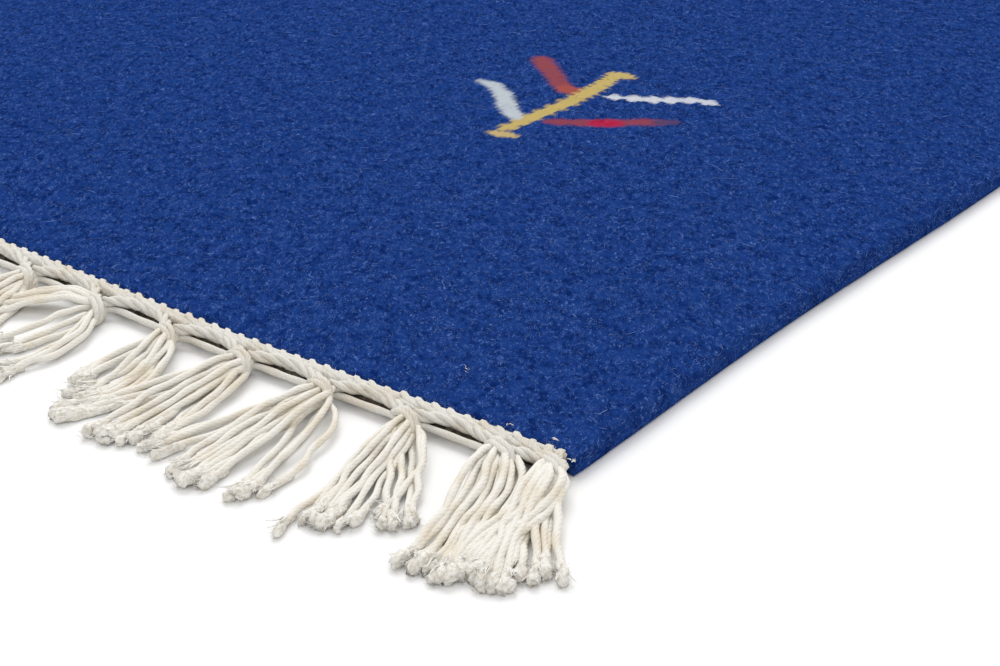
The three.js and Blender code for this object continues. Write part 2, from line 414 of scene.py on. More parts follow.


# Undyed cotton yarn: cream, with painted shade in the grooves between its plies
cotton = {
    "light": (0.850, 0.820, 0.755, 1),
    "warm": (0.780, 0.715, 0.600, 1),
    "bandLight": (0.740, 0.718, 0.665, 1),
    "bandWarm": (0.680, 0.625, 0.530, 1),
    # the painted shade between the plies
    "grooveShade": (0.50, 0.39, 0.26, 1),
    "fray": (0.880, 0.860, 0.815, 1),
    "frayBody": (0.790, 0.770, 0.720, 1),
    "frayShade": (0.560, 0.490, 0.385, 1),
    # the painted shade of the dark rows under the band, in a lighter and a darker colour
    "paintedShadeColour": (0.120, 0.105, 0.080, 1),
    "paintedShadeDarker": (0.035, 0.030, 0.024, 1),
    "plies": 5,
    "pitch": 7.5,
    "ridgePower": 0.7,
    "patches": (130, 0.42, 0.68),  # scale, and the range from light to warm
    "deeperShade": (0.35, 0.65),  # the range over which the patches deepen the painted shade in the grooves
    "grooves": (0.5, 0.12, 0.26),  # depth of ridge, least painted shade, and what the patches add
    "fine": (2600, 0.6),  # scale and height
    "hairs": (1500, 1.2, 0.05, 0.3),  # scale, bend, width, and share in colour and height
    "bump": (0.6, 0.00016),  # strength and distance
    "frayPatchScale": 260,
    "streaks": ((3.0, 3.0, 0.45), 300, 0.4),  # drawn out along the yarn, varied by place, and their share
    "crumbs": (1100, 0.6),  # scale and share
    "frayShading": (0.56, 0.40, 0.6),  # range and share
    "frayBump": (0.6, 0.0008),
    "specks": (700, 0.35, 0.65),
    "speckBump": (0.6, 0.0004),
}


# The plies' ridges. The attribute holds the cosine and sine of the angle around the yarn,
# and the run along it in millimetres
def plyGroup():
    tree, given, result = newGroup("yarnPlies", {"Ply": "Vector"}, {"Ridge": "Float"})
    parts = addNode(tree, "ShaderNodeSeparateXYZ", {"Vector": given["Ply"]}).outputs
    angle = mathNode(tree, "ARCTAN2", parts["Y"], parts["X"])
    run = times(tree, parts["Z"], math.pi * cotton["plies"] / cotton["pitch"])
    phase = timesPlus(tree, angle, cotton["plies"] / 2, run)
    ridge = mathNode(tree, "ABSOLUTE", mathNode(tree, "SINE", phase))
    tree.links.new(mathNode(tree, "POWER", ridge, cotton["ridgePower"]), result["Ridge"])
    return tree


yarnPlies = plyGroup()


def cottonMaterial(name, light, warm):
    material, tree, shader = newMaterial(name, 0.95, 0.1)
    place = objectPlace(tree)
    patchScale, lightest, warmest = cotton["patches"]
    patches = noiseNode(tree, place, patchScale)
    body = mixColour(tree, smoothRange(tree, patches, lightest, warmest), light, warm)
    ridge = useGroup(tree, yarnPlies, {"Ply": attributeNode(tree, "ply")["Vector"]})
    # painted shade in the grooves between the plies, deeper in random patches
    grooveDepth, grooveLeast, grooveMore = cotton["grooves"]
    deeperShade = smoothRange(tree, patches, *cotton["deeperShade"])
    grooves = times(tree, smoothRange(tree, ridge, grooveDepth, 0.0),
                    timesPlus(tree, deeperShade, grooveMore, grooveLeast))
    body = mixColour(tree, grooves, body, cotton["grooveShade"])
    hairScale, bend, hairWidth, hairShare = cotton["hairs"]
    hairs = useGroup(tree, curlyFibres, {
        "Vector": place, "Scale": hairScale, "Bend": bend, "Width": hairWidth})
    body = mixColour(tree, times(tree, hairs, hairShare), body, cotton["fray"])
    tree.links.new(body, shader.inputs["Base Color"])
    fineScale, fineHeight = cotton["fine"]
    height = timesPlus(tree, noiseNode(tree, place, fineScale), fineHeight, ridge)
    height = timesPlus(tree, hairs, hairShare, height)
    addBump(tree, shader, height, *cotton["bump"])
    return material


def cottonFrayMaterial():
    material, tree, shader = newMaterial("cottonFray", 0.95, 0.1)
    place = objectPlace(tree)
    patches = noiseNode(tree, place, cotton["frayPatchScale"])
    body = mixColour(tree, patches, cotton["fray"], cotton["frayBody"])
    drawnOut, variation, streakShare = cotton["streaks"]
    onYarn = vectorNode(tree, "MULTIPLY", attributeNode(tree, "ply")["Vector"], drawnOut)
    along = vectorNode(tree, "ADD", onYarn, scaled(tree, place, variation))
    streaks = noiseNode(tree, along, 1.0, 3.0)
    crumbScale, crumbShare = cotton["crumbs"]
    crumbs = noiseNode(tree, place, crumbScale, 3.0)
    rough = timesPlus(tree, crumbs, crumbShare, times(tree, streaks, streakShare))
    bright, dark, shadeShare = cotton["frayShading"]
    shaded = times(tree, smoothRange(tree, rough, bright, dark), shadeShare)
    tree.links.new(mixColour(tree, shaded, body, cotton["frayShade"]), shader.inputs["Base Color"])
    addBump(tree, shader, rough, *cotton["frayBump"])
    return material


def cottonHairMaterial():  # no bump, which would darken anything as thin as a hair
    material, tree, shader = newMaterial("cottonHair", 0.95, 0.1)
    body = mixColour(tree, attributeNode(tree, "shade")["Fac"], cotton["fray"], cotton["light"])
    tree.links.new(body, shader.inputs["Base Color"])
    return material


def paintedShadeCottonMaterial():  # painted shade: dark speckled cotton that stands in for the deep shadow under the band
    material, tree, shader = newMaterial("paintedShadeCotton", 1.0, 0)
    scale, darkest, lightest = cotton["specks"]
    specks = noiseNode(tree, objectPlace(tree), scale)
    shadeSpeckle = smoothRange(tree, specks, darkest, lightest)
    # painted shade, speckled between its darker and lighter colours
    tree.links.new(mixColour(tree, shadeSpeckle, cotton["paintedShadeDarker"], cotton["paintedShadeColour"]), shader.inputs["Base Color"])
    addBump(tree, shader, specks, *cotton["speckBump"])
    return material


blueWool, blueWoolFuzz = woolMaterial(), woolHairMaterial()
creamCotton = cottonMaterial("creamCotton", cotton["light"], cotton["warm"])
bandCotton = cottonMaterial("bandCotton", cotton["bandLight"], cotton["bandWarm"])
cottonFray, cottonHair, paintedShadeCotton = cottonFrayMaterial(), cottonHairMaterial(), paintedShadeCottonMaterial()
print("materials made")


def finishPiece(name, mesh, material, replaced=()):
    mesh.name = name
    mesh.materials.clear()
    mesh.materials.append(material)
    mesh.shade_smooth()
    piece = addObject(name, mesh)
    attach(piece, "root")
    if replaced:
        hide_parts(*replaced)
    mesh.calc_loop_triangles()
    print(name, len(mesh.loop_triangles), "triangles")
    return piece


# The woven field: one closed sheet with soft rounded edges and a lumpy felted top
field = {
    "cells": (180, 270),
    "cornerRadius": 0.9,
    "cornerPull": (12, 1.7),  # the near right corner and its opposite run out past the fringe's last knot
    "edge": [(0.8, 4.86), (1.45, 4.5), (1.85, 3.8), (2.0, 2.6), (2.0, 1.3), (1.75, 0.4), (1.1, 0.0)],
    "lumps": [(9.0, 0.22), (3.6, 0.20), (60.0, 0.18)],  # size and height
    "edgeSwell": (2.2, 1.3),  # width of the rim that the lumps push outwards, and how much of their height
}


def fieldMesh():
    edgeOut = max(out for out, height in field["edge"])
    half = np.array([halfWidth - edgeOut, halfLength - edgeOut])
    bm = bmesh.new()
    bmesh.ops.create_grid(bm, x_segments=field["cells"][0], y_segments=field["cells"][1], size=1)
    bmesh.ops.scale(bm, vec=(*half, 1), verts=bm.verts)
    bmesh.ops.translate(bm, vec=(0, 0, rug["thickness"]), verts=bm.verts)
    rim = [edge for edge in bm.edges if edge.is_boundary]
    lastOut = 0
    for out, height in field["edge"]:
        grown = bmesh.ops.extrude_edge_only(bm, edges=rim)["geom"]
        rim = [part for part in grown if isinstance(part, bmesh.types.BMEdge)]
        corners = [part for part in grown if isinstance(part, bmesh.types.BMVert)]
        growth = (half + out) / (half + lastOut)
        bmesh.ops.scale(bm, vec=(*growth, 1), verts=corners)
        for corner in corners:
            corner.co.z = height
        lastOut = out
    bmesh.ops.contextual_create(bm, geom=rim)
    bmesh.ops.recalc_face_normals(bm, faces=bm.faces)
    return meshFrom(bm, "field")


def shapeField(mesh):
    points = np.empty(len(mesh.vertices) * 3)
    mesh.vertices.foreach_get("co", points)
    points = points.reshape(-1, 3)
    reach = np.array([halfWidth, halfLength])
    radius = field["cornerRadius"]
    fromCentre = np.abs(points[:, :2]) - (reach - radius)
    inCorner = (fromCentre > 0).all(1)
    square = fromCentre[inCorner]
    rounded = square * (square.max(1) / np.linalg.norm(square, axis=1))[:, None]
    points[inCorner, :2] = np.sign(points[inCorner, :2]) * (reach - radius + rounded)
    x, y = points[:, 0].copy(), points[:, 1].copy()
    points[:, 0] += wander(np.where(x > 0, y, -y), rug["sideWander"]) * x / reach[0]
    points[:, 1] += wander(np.where(y < 0, x, -x), rug["endWander"]) * y / reach[1]
    run, pull = field["cornerPull"]
    nearCorner = np.clip((np.abs(x) - reach[0]) / run + 1, 0, 1) ** 2 * (x * y < 0)
    nearEnd = np.clip(np.abs(y) / reach[1] * 10 - 9, 0, 1)  # over the last tenth of the length
    points[:, 1] += np.sign(y) * pull * nearCorner * nearEnd
    lift = np.zeros(len(points))
    for size, height in field["lumps"]:
        lift += height * np.array([noise.noise(Vector(point) / size) for point in points])
    grip = np.clip(points[:, 2] / rug["thickness"], 0, 1)
    points[:, 2] += lift * grip
    rim, swell = field["edgeSwell"]
    outward = (np.abs(points[:, :2]) > reach - rim) * np.sign(points[:, :2])
    points[:, :2] += outward * (swell * lift * np.sin(grip * math.pi))[:, None]
    mesh.vertices.foreach_set("co", (points * mm).ravel())
    mesh.update()
    return mesh


woolField = finishPiece("wool_field", shapeField(fieldMesh()), blueWool, ["woven_field"])


# Fine hairs: three-sided and closed, curled round by a given turn, and drawn out to a point
def hairMesh(starts, headings, asides, lengths, widths, turns, rng, rings=2):
    count = len(starts)
    headings = unit(headings)
    asides = squareTo(headings, asides)
    over = np.cross(headings, asides)
    angle = np.linspace(0, 1, rings + 1)[None, :] * turns[:, None]
    onward = (np.sin(angle) / turns[:, None] * lengths[:, None])[..., None]
    sideways = ((1 - np.cos(angle)) / turns[:, None] * lengths[:, None])[..., None]
    spine = starts[:, None] + headings[:, None] * onward + asides[:, None] * sideways
    around = np.arange(3) * 2 * math.pi / 3
    section = asides[:, None] * np.cos(around)[:, None] + over[:, None] * np.sin(around)[:, None]
    taper = np.linspace(1, 0.5, rings)[None, :, None, None] * (widths / 2)[:, None, None, None]
    tube = spine[:, :-1, None] + section[:, None] * taper
    corners = np.concatenate([tube.reshape(count, rings * 3, 3), spine[:, -1:]], 1)
    corners[..., 2] = np.maximum(corners[..., 2], rug["clearance"] * mm)
    faces = [[2, 1, 0]]
    for ring in range(rings - 1):
        low, high = ring * 3, ring * 3 + 3
        for side in range(3):
            after = (side + 1) % 3
            faces += [[low + side, low + after, high + after], [low + side, high + after, high + side]]
    last = (rings - 1) * 3
    faces += [[last + side, last + (side + 1) % 3, rings * 3] for side in range(3)]
    perHair = rings * 3 + 1
    allFaces = (np.array(faces)[None] + (np.arange(count) * perHair)[:, None, None]).reshape(-1, 3)
    mesh = bpy.data.meshes.new("hairs")
    mesh.from_pydata(corners.reshape(-1, 3).tolist(), [], allFaces.tolist())
    shade = mesh.attributes.new("shade", "FLOAT", "POINT")
    shade.data.foreach_set("value", np.repeat(rng.random(count) ** 2, perHair).astype(np.float32))
    return mesh


def hairSizes(values, count, rng):
    lengths, widths = (rng.uniform(*values[name], count) * mm for name in ("length", "width"))
    return lengths, widths, rng.uniform(*values["turn"], count)


fuzz = {
    "count": 6400,
    "inset": 3,
    "length": (3.0, 9.0),
    "width": (0.10, 0.17),
    "turn": (1.0, 4.2),
    "rise": (0, 0.12),
    "tilt": (-0.1, 0.1),  # of the curls
}


def fieldFuzz():
    rng = np.random.default_rng(7)
    count = fuzz["count"]
    across, along = halfWidth - fuzz["inset"], halfLength - fuzz["inset"]
    starts = np.c_[rng.uniform(-across, across, count), rng.uniform(-along, along, count),
                   np.full(count, rug["thickness"] + rug["clearance"])]
    bearing = rng.uniform(0, 2 * math.pi, count)
    headings = np.c_[np.cos(bearing), np.sin(bearing), rng.uniform(*fuzz["rise"], count)]
    asides = np.c_[-np.sin(bearing), np.cos(bearing), rng.uniform(*fuzz["tilt"], count)]
    turns = rng.uniform(*fuzz["turn"], count) * np.where(rng.random(count) < 0.5, 1, -1)
    return hairMesh(starts * mm, headings, asides, rng.uniform(*fuzz["length"], count) * mm,
                    rng.uniform(*fuzz["width"], count) * mm, turns, rng, rings=3)


edgeHairs = {
    "count": 5200,
    "sideShare": 0.75,  # the rest are at the two ends
    "inset": (2.0, 1.9),  # of the roots on the top, and how much less on the edge
    "depth": 0.1,
    "aim": (0.6, 0.7),  # shares of straight outwards and of astray
    "length": (1.0, 3.4),
    "width": (0.10, 0.17),
    "turn": (0.5, 2.0),
}


def edgeFuzz():
    rng = np.random.default_rng(11)
    count = edgeHairs["count"]
    share = rng.uniform(-1, 1, count)
    alongSide = rng.random(count) < edgeHairs["sideShare"]
    sign = np.where(rng.random(count) < 0.5, -1.0, 1.0)
    x = np.where(alongSide, sign, share) * halfWidth
    y = np.where(alongSide, share, sign) * halfLength
    x = x + np.where(alongSide, sign * wander(y * sign, rug["sideWander"]), 0)
    y = y + np.where(alongSide, 0, sign * wander(-x * sign, rug["endWander"]))
    lean = rng.uniform(0.0, math.pi / 2, count)
    topInset, less = edgeHairs["inset"]
    inset = topInset - less * np.sin(lean)
    height = rug["thickness"] / 2 + (rug["thickness"] / 2 - edgeHairs["depth"]) * np.cos(lean)
    outX, outY = np.where(alongSide, sign, 0.0), np.where(alongSide, 0.0, sign)
    starts = np.c_[x - outX * inset, y - outY * inset, height]
    straight, stray = edgeHairs["aim"]
    headings = np.c_[outX * np.sin(lean), outY * np.sin(lean), np.cos(lean)] * straight
    headings = headings + rng.normal(size=(count, 3)) * stray
    curls = rng.normal(size=(count, 3))
    return hairMesh(starts * mm, headings, curls, *hairSizes(edgeHairs, count, rng), rng)


woolFuzz = finishPiece("wool_fuzz", fieldFuzz(), blueWoolFuzz)
woolEdgeFuzz = finishPiece("wool_edge_fuzz", edgeFuzz(), blueWoolFuzz)


# Scraps of cotton lint caught in the wool beside the fringe: two large ones at the near right corner,
# of which the first hangs on the corner's rim, and small ones elsewhere
lint = {
    "scraps": 11,
    "hairs": 5,
    "largeScraps": [(300.4, -450.9), (293.8, -447.6)],
    "rimHeight": 4.2,
    "heightOnWool": 0.4,
    "reach": 0.97,  # share of the rug's width
    "fromEnd": (1.5, 16),
    "scatter": 0.4,
    "rise": (0.15, 0.2),  # of the hairs' aims and of their curls
    "smallWidth": 0.4,  # of the large scraps' hairs
    "length": (0.7, 1.7),
    "width": (0.25, 0.45),
    "turn": (0.8, 3.0),
}


def lintMesh():
    rng = np.random.default_rng(13)
    scraps, large = lint["scraps"], lint["largeScraps"]
    across = rng.uniform(-1, 1, scraps) * halfWidth * lint["reach"]
    along = rng.choice([-1, 1], scraps) * (halfLength - rng.uniform(*lint["fromEnd"], scraps))
    middles = np.c_[across, along, np.full(scraps, rug["thickness"] + lint["heightOnWool"])]
    middles[:len(large), :2] = large
    middles[0, 2] = lint["rimHeight"]
    starts = np.repeat(middles, lint["hairs"], 0)
    count = len(starts)
    starts[:, :2] += rng.normal(size=(count, 2)) * lint["scatter"]
    aims, curls = (rng.normal(size=(count, 3)) * [1, 1, rise] for rise in lint["rise"])
    lengths, widths, turns = hairSizes(lint, count, rng)
    widths[len(large) * lint["hairs"]:] *= lint["smallWidth"]
    return hairMesh(starts * mm, aims, curls, lengths, widths, turns, rng, rings=3)


cottonLint = finishPiece("cotton_lint", lintMesh(), cottonHair)


# A ring of points with a radius of one metre, to sweep along a yarn's route
def roundSection(sides):
    angles = np.arange(sides) * 2 * math.pi / sides
    curve = bpy.data.curves.new("section", "CURVE")
    curve.dimensions = "2D"
    curve.fill_mode = "NONE"
    ring = curve.splines.new("POLY")
    ring.points.add(sides - 1)
    corners = np.c_[np.cos(angles), np.sin(angles), np.zeros(sides), np.ones(sides)]
    ring.points.foreach_set("co", corners.ravel())
    ring.use_cyclic_u = True
    return addObject("section", curve)


def smoothRoute(points, spacing):  # a Catmull-Rom curve through the points
    points = np.asarray(points, float)
    ring = np.vstack([2 * points[0] - points[1], points, 2 * points[-1] - points[-2]])
    samples = []
    for i in range(len(points) - 1):
        a, b, c, d = ring[i:i + 4]
        count = max(1, round(np.linalg.norm(c - b) / spacing))
        t = (np.arange(count) / count)[:, None]
        samples.append(0.5 * (2 * b + (c - a) * t + (2 * a - 5 * b + 4 * c - d) * t ** 2
                              + (3 * b - a - 3 * c + d) * t ** 3))
    return np.vstack([*samples, points[-1:]])


def distances(route):
    return np.concatenate([[0], np.cumsum(np.linalg.norm(np.diff(route, axis=0), axis=1))])


# Sweeps round yarns along routes of (points, radii) in metres, and notes where each point lies on its yarn
def sweepMesh(sides, routes):
    section = roundSection(sides)
    curve = bpy.data.curves.new("yarns", "CURVE")
    curve.dimensions = "3D"
    curve.bevel_mode = "OBJECT"
    curve.bevel_object = section
    for points, radii in routes:
        spline = curve.splines.new("POLY")
        spline.points.add(len(points) - 1)
        spline.points.foreach_set("co", np.c_[points, np.ones(len(points))].ravel())
        spline.points.foreach_set("radius", radii)
    holder = addObject("yarns", curve)
    graph = bpy.context.evaluated_depsgraph_get()
    mesh = bpy.data.meshes.new_from_object(holder.evaluated_get(graph))
    bpy.data.objects.remove(holder)
    bpy.data.objects.remove(section)
    runs = np.concatenate([distances(points) / mm for points, radii in routes])
    angles = np.tile(np.arange(sides) * 2 * math.pi / sides, len(runs))
    ply = mesh.attributes.new("ply", "FLOAT_VECTOR", "POINT")
    ply.data.foreach_set("vector", np.c_[np.cos(angles), np.sin(angles), np.repeat(runs, sides)].ravel())
    bm = bmesh.new()
    bm.from_mesh(mesh)
    bmesh.ops.holes_fill(bm, edges=[edge for edge in bm.edges if edge.is_boundary], sides=sides)
    bmesh.ops.recalc_face_normals(bm, faces=bm.faces)
    bm.to_mesh(mesh)
    bm.free()
    return mesh


yarn = {
    "radius": 0.79,
    "cornerRadius": 0.88,
    "step": 1.7,
    "sides": 6,
    "swell": (0.07, 0.8),  # how much thicker it gets in places, and how fast that comes and goes
}


def yarnRoute(end, points, rng, radius=yarn["radius"]):
    route = smoothRoute(points, yarn["step"])
    swell, pace = yarn["swell"]
    radii = radius * (1 + swell * np.sin(distances(route) * pace + 6 * rng.random()))
    return atEnd(end, route), radii * mm


def straightRoute(end, run, out, height, radius):  # a yarn along the band
    left, right, count = run
    places = np.linspace(left - halfWidth, halfWidth - right, count)
    points = np.stack([places, np.full(count, out), np.full(count, height)], 1)
    return atEnd(end, points), np.full(count, radius) * mm


# The tassels: yarns leave the knot in a bundle, swell, and come down to the floor as they fan out
tassel = {
    "neck": (0.6, 2.2),  # from the knot's crest
    "widths": (5.8, 8.4, 1.6),  # at the neck, in the belly, and what the belly adds near the tips
    "leaving": (0.22, 1.2),  # the curve's second corner: share of the way from the neck, and of the swing
    "arriving": (0.38, 0.55),  # its third corner: share of the way from the tip, and of the swing
    "wayPoints": 9,
    "wayStep": 5.0,  # between the points of a curved lock's way
    "tuft": 2.6,
    "reachSpread": 1.6,
    "sideSpread": 0.7,
    "wobble": 0.35,
    "lift": 0.25,
    "resting": 1.1,  # height of a yarn's middle on the floor, in radii
    "root": {"spread": 1.6, "back": 1.6, "height": 2.0, "rise": 1.6},  # where yarns start in the knot
    "tops": [(0, 4.9), (0.12, 5.5), (0.3, 5.0), (0.5, 4.0), (0.8, 2.5), (1, 1.7)],  # share of way, height
}


def lockWay(x, neck, values):  # the lock's middle line, with its width
    if "way" in values:
        return smoothRoute([(x + across, out, width) for across, out, width in values["way"]],
                           tassel["wayStep"])
    tip = np.array([x + values["across"], values["out"]])
    length = np.linalg.norm(tip - neck)
    onward = (tip - neck) / length
    aside = np.array([onward[1], -onward[0]]) * values["swing"]
    neckWidth, belly, tipBelly = tassel["widths"]
    (leaveRun, leaveSwing), (arriveRun, arriveSwing) = tassel["leaving"], tassel["arriving"]
    a, b, c, d = [np.array([*place, width]) for place, width in (
        (neck, neckWidth),
        (neck + onward * length * leaveRun + aside * leaveSwing, belly),
        (tip - onward * length * arriveRun + aside * arriveSwing, values["spread"] + tipBelly),
        (tip, values["spread"]))]
    share = np.linspace(0, 1, tassel["wayPoints"])[:, None]
    rest = 1 - share
    return rest ** 3 * a + 3 * rest ** 2 * share * b + 3 * rest * share ** 2 * c + share ** 3 * d


def lockRoutes(x, crest, values, order, radius, rng):
    way = lockWay(x, crest + tassel["neck"], values)
    heading = unit(np.gradient(way[:, :2], axis=0))
    aside = np.stack([heading[:, 1], -heading[:, 0]], 1)
    run = distances(way[:, :2])
    share = run / run[-1]
    tops = np.array(tassel["tops"])
    top = np.interp(share, tops[:, 0], tops[:, 1]) - 2 * radius
    resting = radius * tassel["resting"]
    root = tassel["root"]
    looseness = tassel["wobble"] * np.minimum(1, share * 2) * (share < 1)
    routes = []
    for i in range(values["yarns"]):
        place = (i + 0.5) / values["yarns"] * 2 - 1
        level = min(1, (values["layer"] + (order + i) * 2 % 3) / 3)
        wobble = rng.normal(size=(len(way), 2)) * looseness[:, None]
        drift = aside[-1] * rng.normal() * tassel["sideSpread"]
        drift = drift + heading[-1] * (rng.uniform(-1, 1) * tassel["reachSpread"] - tassel["tuft"])
        plan = way[:, :2] + aside * (place * way[:, 2] / 2)[:, None] + wobble
        plan = plan + drift * (share ** 2)[:, None]
        height = resting + np.maximum(0, top) * level + np.abs(rng.normal(size=len(way))) * tassel["lift"]
        height[-1] = resting
        start = [crest[0] + place * root["spread"], crest[1] - root["back"],
                 root["height"] + level * root["rise"]]
        routes.append(np.vstack([start, np.c_[plan, height]]))
    return routes


# The frayed tips: each yarn opens into a soft brush of loosened strands, with a tuft of fine fibres
fray = {
    "brush": [(-5.2, 0.78), (-3.4, 0.93), (-1.6, 1.05), (0.0, 1.14), (1.5, 1.20), (2.6, 1.14),
              (3.4, 0.85)],  # distance beyond the yarn's end, and radius
    "brushSides": 9,
    "brushStretch": (0.8, 1.25),
    "brushWidth": (0.75, 1.2),
    "brushWaist": (0.9, 1.1),
    "brushBend": 0.22,
    "brushSink": 0.9,  # least height of its middle, in radii
    "ridges": (2.2, 0.3, 0.8),  # across the yarn, along it, and their height
    "ridgeSize": 5,  # over which the ridges change from brush to brush
    "lumps": (0.9, 0.45),  # size and height
    "smoothRun": 7,  # over which the ridges and lumps grow to their full height
    "strands": {"number": 6, "from": (-3.0, 0.6), "out": (0.8, 1.1), "aim": (1, 0.16, 0.12),
                "length": (3.0, 6.0), "width": (0.35, 0.6), "turn": (0.2, 1.2), "rings": 3},
    "tuft": {"number": 32, "from": (-3.0, 4.2), "out": (0.9, 1.3), "aim": (0.9, 0.6, 0.4),
             "length": (0.8, 2.3), "width": (0.10, 0.17), "turn": (0.5, 2.5), "rings": 2},
    "leastStart": 0.25,
    "strayRise": 0.7,
    "rise": 0.6,
}


def brushRoute(end, route, rng):
    tip, heading = route[-1], unit(route[-1] - route[-2]) * [1, 1, 0]
    beyond, radii = np.array(fray["brush"]).T
    beyond = beyond * rng.uniform(*fray["brushStretch"])
    radii = radii * rng.uniform(*fray["brushWidth"]) * rng.uniform(*fray["brushWaist"], len(radii))
    points = tip + heading * beyond[:, None] + rng.normal(size=(len(beyond), 3)) * fray["brushBend"]
    points[:, 2] = np.maximum(points[:, 2], radii * fray["brushSink"])
    return atEnd(end, points), radii * mm


# Hairs that leave the tips. They aim onwards, outwards and astray, by three shares
def tipHairs(end, tips, values, rng):
    places, headings = (np.repeat(parts, values["number"], 0) for parts in zip(*tips))
    headings, count = unit(headings), len(places)
    outward = squareTo(headings, rng.normal(size=(count, 3)))
    starts = places + headings * rng.uniform(*values["from"], (count, 1))
    starts = starts + outward * rng.uniform(*values["out"], (count, 1))
    starts[:, 2] = np.maximum(starts[:, 2], fray["leastStart"])
    onward, aside, stray = values["aim"]
    aims = headings * onward + outward * aside
    aims = aims + rng.normal(size=(count, 3)) * np.array([stray, stray, stray * fray["strayRise"]])
    curls = rng.normal(size=(count, 3))
    for way in (aims, curls):  # upwards, because the floor is close below
        way[:, 2] = np.abs(way[:, 2]) * fray["rise"]
    turn = ends[end]["turn"]
    return hairMesh(atEnd(end, starts), aims * np.array([turn, -turn, 1]), curls,
                    *hairSizes(values, count, rng), rng, values["rings"])


# Ridges that run along each brush, by a noise of the place on its yarn, and crumbly lumps
def roughen(mesh):
    across, along, height = fray["ridges"]
    size, lump = fray["lumps"]
    plies = mesh.attributes["ply"].data
    noise.seed_set(5)  # noise_vector is otherwise seeded by the clock
    for point in mesh.vertices:
        cosine, sine, run = plies[point.index].vector
        onYarn = Vector((cosine * across, sine * across, run * along))
        ridge = noise.noise_vector(onYarn + point.co / (fray["ridgeSize"] * mm))
        crumb = noise.noise_vector(point.co / (size * mm))
        point.co += (ridge * height + crumb * lump) * min(1, run / fray["smoothRun"]) * mm
        point.co.z = max(point.co.z, rug["clearance"] * mm)
    return mesh


def buildTassels(end):
    rng = np.random.default_rng(ends[end]["seeds"][0])
    yarns, brushes, tips = [], [], []
    for row, (x, crest, locks) in enumerate(zip(knotPlaces(), knotCrests(), tasselRows(end))):
        radius = yarn["cornerRadius"] if row < len(cornerTassels) else yarn["radius"]
        for order, values in enumerate(locks):
            for points in lockRoutes(x, crest, values, order, radius, rng):
                yarns.append(yarnRoute(end, points, rng, radius))
                brushes.append(brushRoute(end, points, rng))
                tips.append((points[-1], points[-1] - points[-2]))
    return (sweepMesh(yarn["sides"], yarns), roughen(sweepMesh(fray["brushSides"], brushes)),
            tipHairs(end, tips, fray["strands"], rng), tipHairs(end, tips, fray["tuft"], rng))


# The band: pairs of yarns that come over the field's edge one after another and run on along it
band = {
    "pairGap": (0.35, 0.4, 0.5, 0.9, 1.4, 1.4, 1.4),
    "radius": 0.73,
    "route": [(-0.4, -0.6, 3.2), (-0.3, 0.1, 4.15), (0.3, 0.85, 4.5), (1.8, 1.6, 4.2), (4.8, 2.2, 3.9),
              (9.0, 2.6, 3.4), (14.0, 2.4, 2.4)],  # across, out and height
    "cornerRun": 14,
    "cornerOut": 3.0,
    "cornerInset": 3.4,
    "lastRun": 1.4,
    "slump": 0.12,
    "cores": [(0.7, 3.75), (1.9, 2.6)],  # out and height of the yarns inside the band
    "coreRun": (1, 2, 120),  # how far from the two sides they stop, and number of points
    # the dark rows under the band that stand in for its shadow: painted shade
    "paintedShadeRows": [(0.6, 1.15), (2.4, 1.15)],
    "paintedShadeRun": (3, 4, 150),
    "paintedShadeRadius": 1.1,
    "paintedShadeSides": 8,
    "fuzz": {"count": 1400, "out": (1.0, 4.2), "top": 4.9, "fall": (0.8, 0.12), "lift": 0.3,
             "length": (0.8, 2.0), "width": (0.08, 0.15), "turn": (0.5, 2.5)},
}


def bandRoutes(end, rng):
    pitch = rug["width"] / rug["hitches"]
    gaps = np.array(band["pairGap"])
    routes = []
    for i in range(rug["hitches"]):
        x = halfWidth - max((i + 0.5) * pitch, band["cornerInset"])
        slump = rng.normal(size=2) * band["slump"]
        squeeze = min(1, (halfWidth - band["lastRun"] - x) / band["cornerRun"])
        for side in (-0.5, 0.5):
            points = np.array(band["route"])
            onward = (points[:, 0] > 0) * points[:, 0] / band["cornerRun"]
            points[:, 1] += onward * band["cornerOut"] * (1 - squeeze)
            points[:, 0] = points[:, 0] * squeeze + side * gaps
            points += np.array([x, *slump])
            routes.append(yarnRoute(end, points, rng, band["radius"]))
    for out, height in band["cores"]:
        routes.append(straightRoute(end, band["coreRun"], out, height, yarn["radius"]))
    return routes


# Dark cotton rows tucked in under the band, which stand in for its deep shadow: painted shade
def paintedShadeRows(end):
    rows = [straightRoute(end, band["paintedShadeRun"], out, height, band["paintedShadeRadius"])
            for out, height in band["paintedShadeRows"]]
    return sweepMesh(band["paintedShadeSides"], rows)


def bandFuzz(end, rng):
    values = band["fuzz"]
    count = values["count"]
    crest, slope = values["fall"]
    out = rng.uniform(*values["out"], count)
    height = values["top"] - slope * np.abs(out - crest) ** 2
    starts = np.stack([rng.uniform(-halfWidth, halfWidth - 1, count), out, height], 1)
    aims = rng.normal(size=(count, 3)) + np.array([0, 0, values["lift"]])
    curls = rng.normal(size=(count, 3))
    return hairMesh(atEnd(end, starts), aims, curls, *hairSizes(values, count, rng), rng)


